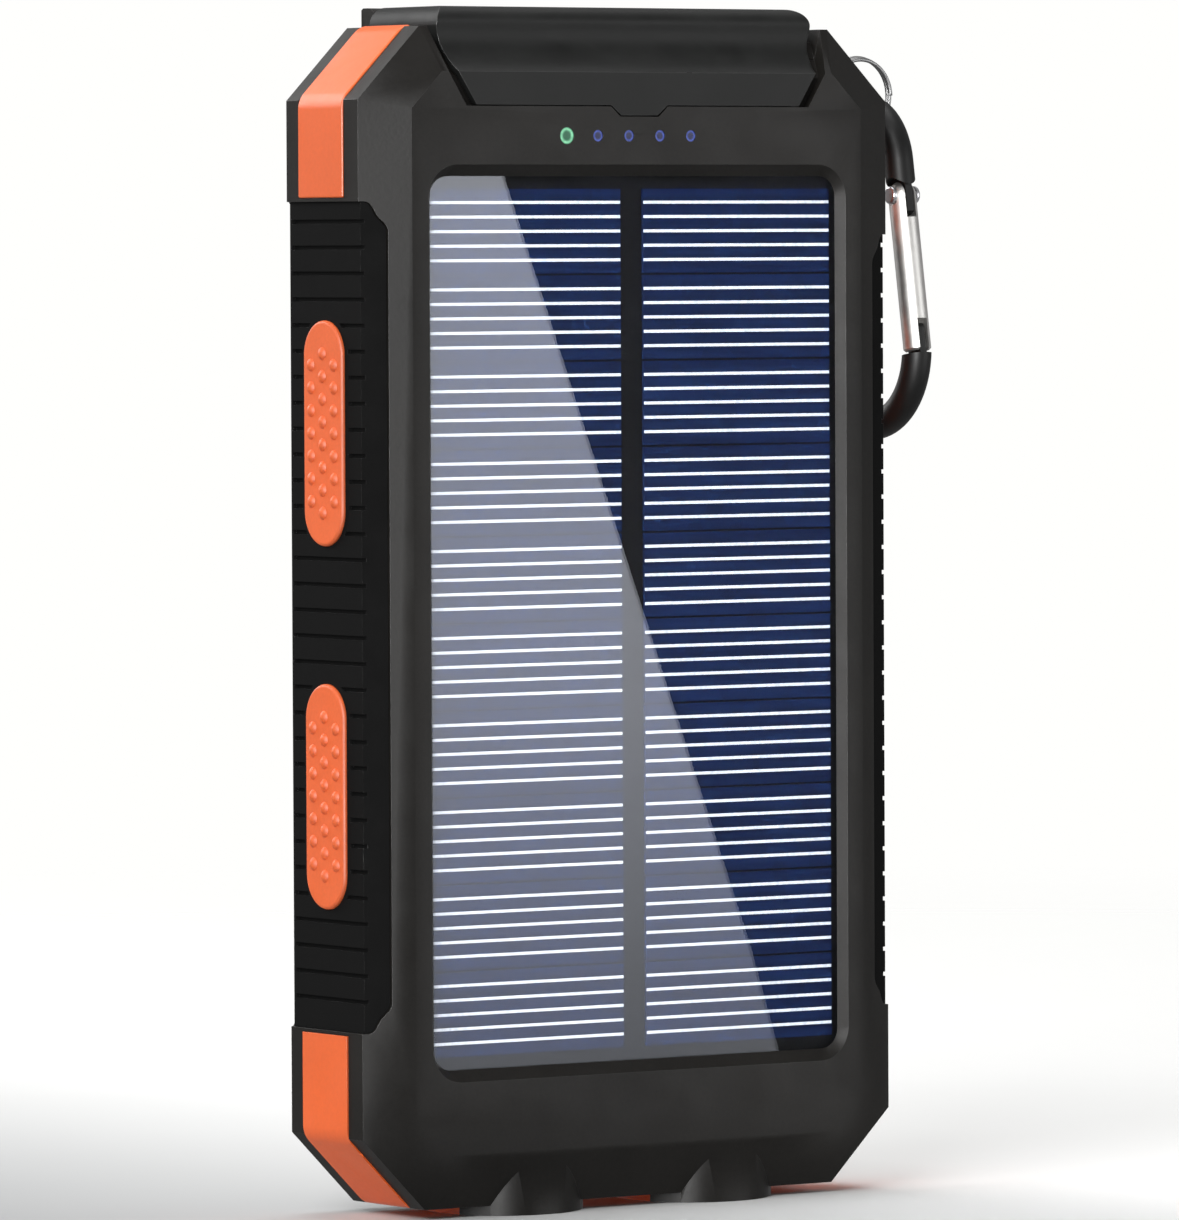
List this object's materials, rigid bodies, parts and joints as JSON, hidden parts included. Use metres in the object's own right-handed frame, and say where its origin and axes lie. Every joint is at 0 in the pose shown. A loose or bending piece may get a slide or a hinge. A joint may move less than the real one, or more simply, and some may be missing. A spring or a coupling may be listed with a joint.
{
  "type": "solar power bank",
  "caption": "Rugged handheld solar power bank: hollow corner-cut case with a solar panel, port flap, compass, lamps, ribbed grips and a hanging carabiner.",
  "frame": {"origin": "on the surface that the lamp rings stand on, under the middle of the case's width and thickness", "axes": "+Z along the case from the lamp end to the port end, +X across the width to the carabiner side, -Y out of the solar face"},
  "size_m": [0.0882, 0.0271, 0.142],
  "materials": {
    "case_black": "fine moulded texture, black ABS",
    "grip_black": "soft-touch ribbed rubber",
    "cover_black": "flexible TPU flap",
    "trim_orange": "satin orange plastic",
    "pad_orange": "studded orange rubber",
    "panel_glass": "clear laminate over the cells",
    "cell_blue": "dark blue polycrystalline silicon",
    "finger_silver": "printed silver grid lines",
    "board_black": "black panel board",
    "board_green": "green circuit board",
    "board_white": "white aluminium-core lamp board",
    "battery_wrap": "silver pouch foil",
    "foam_grey": "soft foam pad",
    "port_steel": "plated port shell",
    "port_plastic": "white contact carrier",
    "chip_black": "moulded package",
    "coil_grey": "ferrite",
    "can_metal": "sleeved can",
    "pipe_green": "green light pipe",
    "pipe_blue": "blue light pipe",
    "led_white": "lit LED package",
    "reflector_chrome": "vacuum-plated cup",
    "lamp_clear": "clear lens",
    "compass_black": "glossy black bezel",
    "compass_dial": "printed dial card",
    "pivot_brass": "pivot pin",
    "pin_steel": "steel",
    "ring_steel": "nickel-plated split ring",
    "carabiner_black": "black anodised aluminium",
    "gate_silver": "polished gate",
    "wire_red": "insulated wire",
    "wire_black": "insulated wire"
  },
  "bodies": {
    "case": {"front_bezel": "case_black", "back_case": "case_black", "solar_glass": "panel_glass", "solar_cells": "cell_blue", "cell_fingers": "finger_silver", "solar_board": "board_black", "battery_front": "battery_wrap", "battery_back": "battery_wrap", "battery_tape": "foam_grey", "battery_foam": "foam_grey", "main_board": "board_green", "usb_a_shell_left": "port_steel", "usb_a_shell_right": "port_steel", "usb_a_tongue_left": "port_plastic", "usb_a_tongue_right": "port_plastic", "micro_usb_shell": "port_steel", "micro_usb_tongue": "port_plastic", "charge_chip": "chip_black", "power_inductor": "coil_grey", "capacitors": "can_metal", "indicator_leds": "led_white", "green_light_pipe": "pipe_green", "blue_light_pipes": "pipe_blue", "tact_switch": "chip_black", "side_grip_left": "grip_black", "side_grip_right": "grip_black", "grip_pad_upper_left": "pad_orange", "grip_pad_upper_right": "pad_orange", "grip_pad_lower_left": "pad_orange", "grip_pad_lower_right": "pad_orange", "top_corner_trim": "trim_orange", "lamp_bezel": "trim_orange", "lamp_reflector_left": "reflector_chrome", "lamp_reflector_right": "reflector_chrome", "lamp_lens_left": "lamp_clear", "lamp_lens_right": "lamp_clear", "lamp_led_left": "led_white", "lamp_led_right": "led_white", "lamp_board": "board_white", "compass_housing": "compass_black", "compass_pivot": "pivot_brass", "compass_lens": "lamp_clear", "cover_hinge_pin": "pin_steel", "case_screws": "pin_steel", "screw_plugs": "cover_black", "lamp_lead_red": "wire_red", "lamp_lead_black": "wire_black", "battery_lead_red": "wire_red", "battery_lead_black": "wire_black", "solar_lead_red": "wire_red", "solar_lead_black": "wire_black"},
    "port_cover": {"port_cover": "cover_black"},
    "power_button": {"power_button": "trim_orange", "switch_plunger": "port_plastic"},
    "compass_card": {"compass_card": "compass_dial"},
    "key_ring": {"key_ring": "ring_steel"},
    "carabiner": {"carabiner_body": "carabiner_black", "gate_rivet": "pin_steel"},
    "carabiner_gate": {"carabiner_gate": "gate_silver"}
  },
  "joints": [
    {"name": "cover_hinge", "type": "hinge", "parent": "case", "child": "port_cover", "pos_m": [0, 0.0094, 0.14], "axis": [1, 0, 0], "range_deg": [-120, 0]},
    {"name": "button_press", "type": "slide", "parent": "case", "child": "power_button", "axis": [-1, 0, 0], "range_m": [0, 0.0005], "stiffness_N_per_m": 1500},
    {"name": "compass_turn", "type": "hinge", "parent": "case", "child": "compass_card", "pos_m": [0, 0.0098, 0.1268], "axis": [0, 1, 0], "continuous": true},
    {"name": "key_ring_swing", "type": "hinge", "parent": "case", "child": "key_ring", "pos_m": [0.0406, 0.0076, 0.132], "axis": [0, 0, 1], "range_deg": [-20, 35]},
    {"name": "carabiner_swing", "type": "hinge", "parent": "key_ring", "child": "carabiner", "pos_m": [0.0455, 0.0076, 0.1277], "axis": [1, 0, 0], "range_deg": [-60, 60]},
    {"name": "gate_hinge", "type": "hinge", "parent": "carabiner", "child": "carabiner_gate", "pos_m": [0.0455, -0.0004, 0.1198], "axis": [1, 0, 0], "range_deg": [0, 30], "stiffness_Nm_per_rad": 0.02}
  ]
}
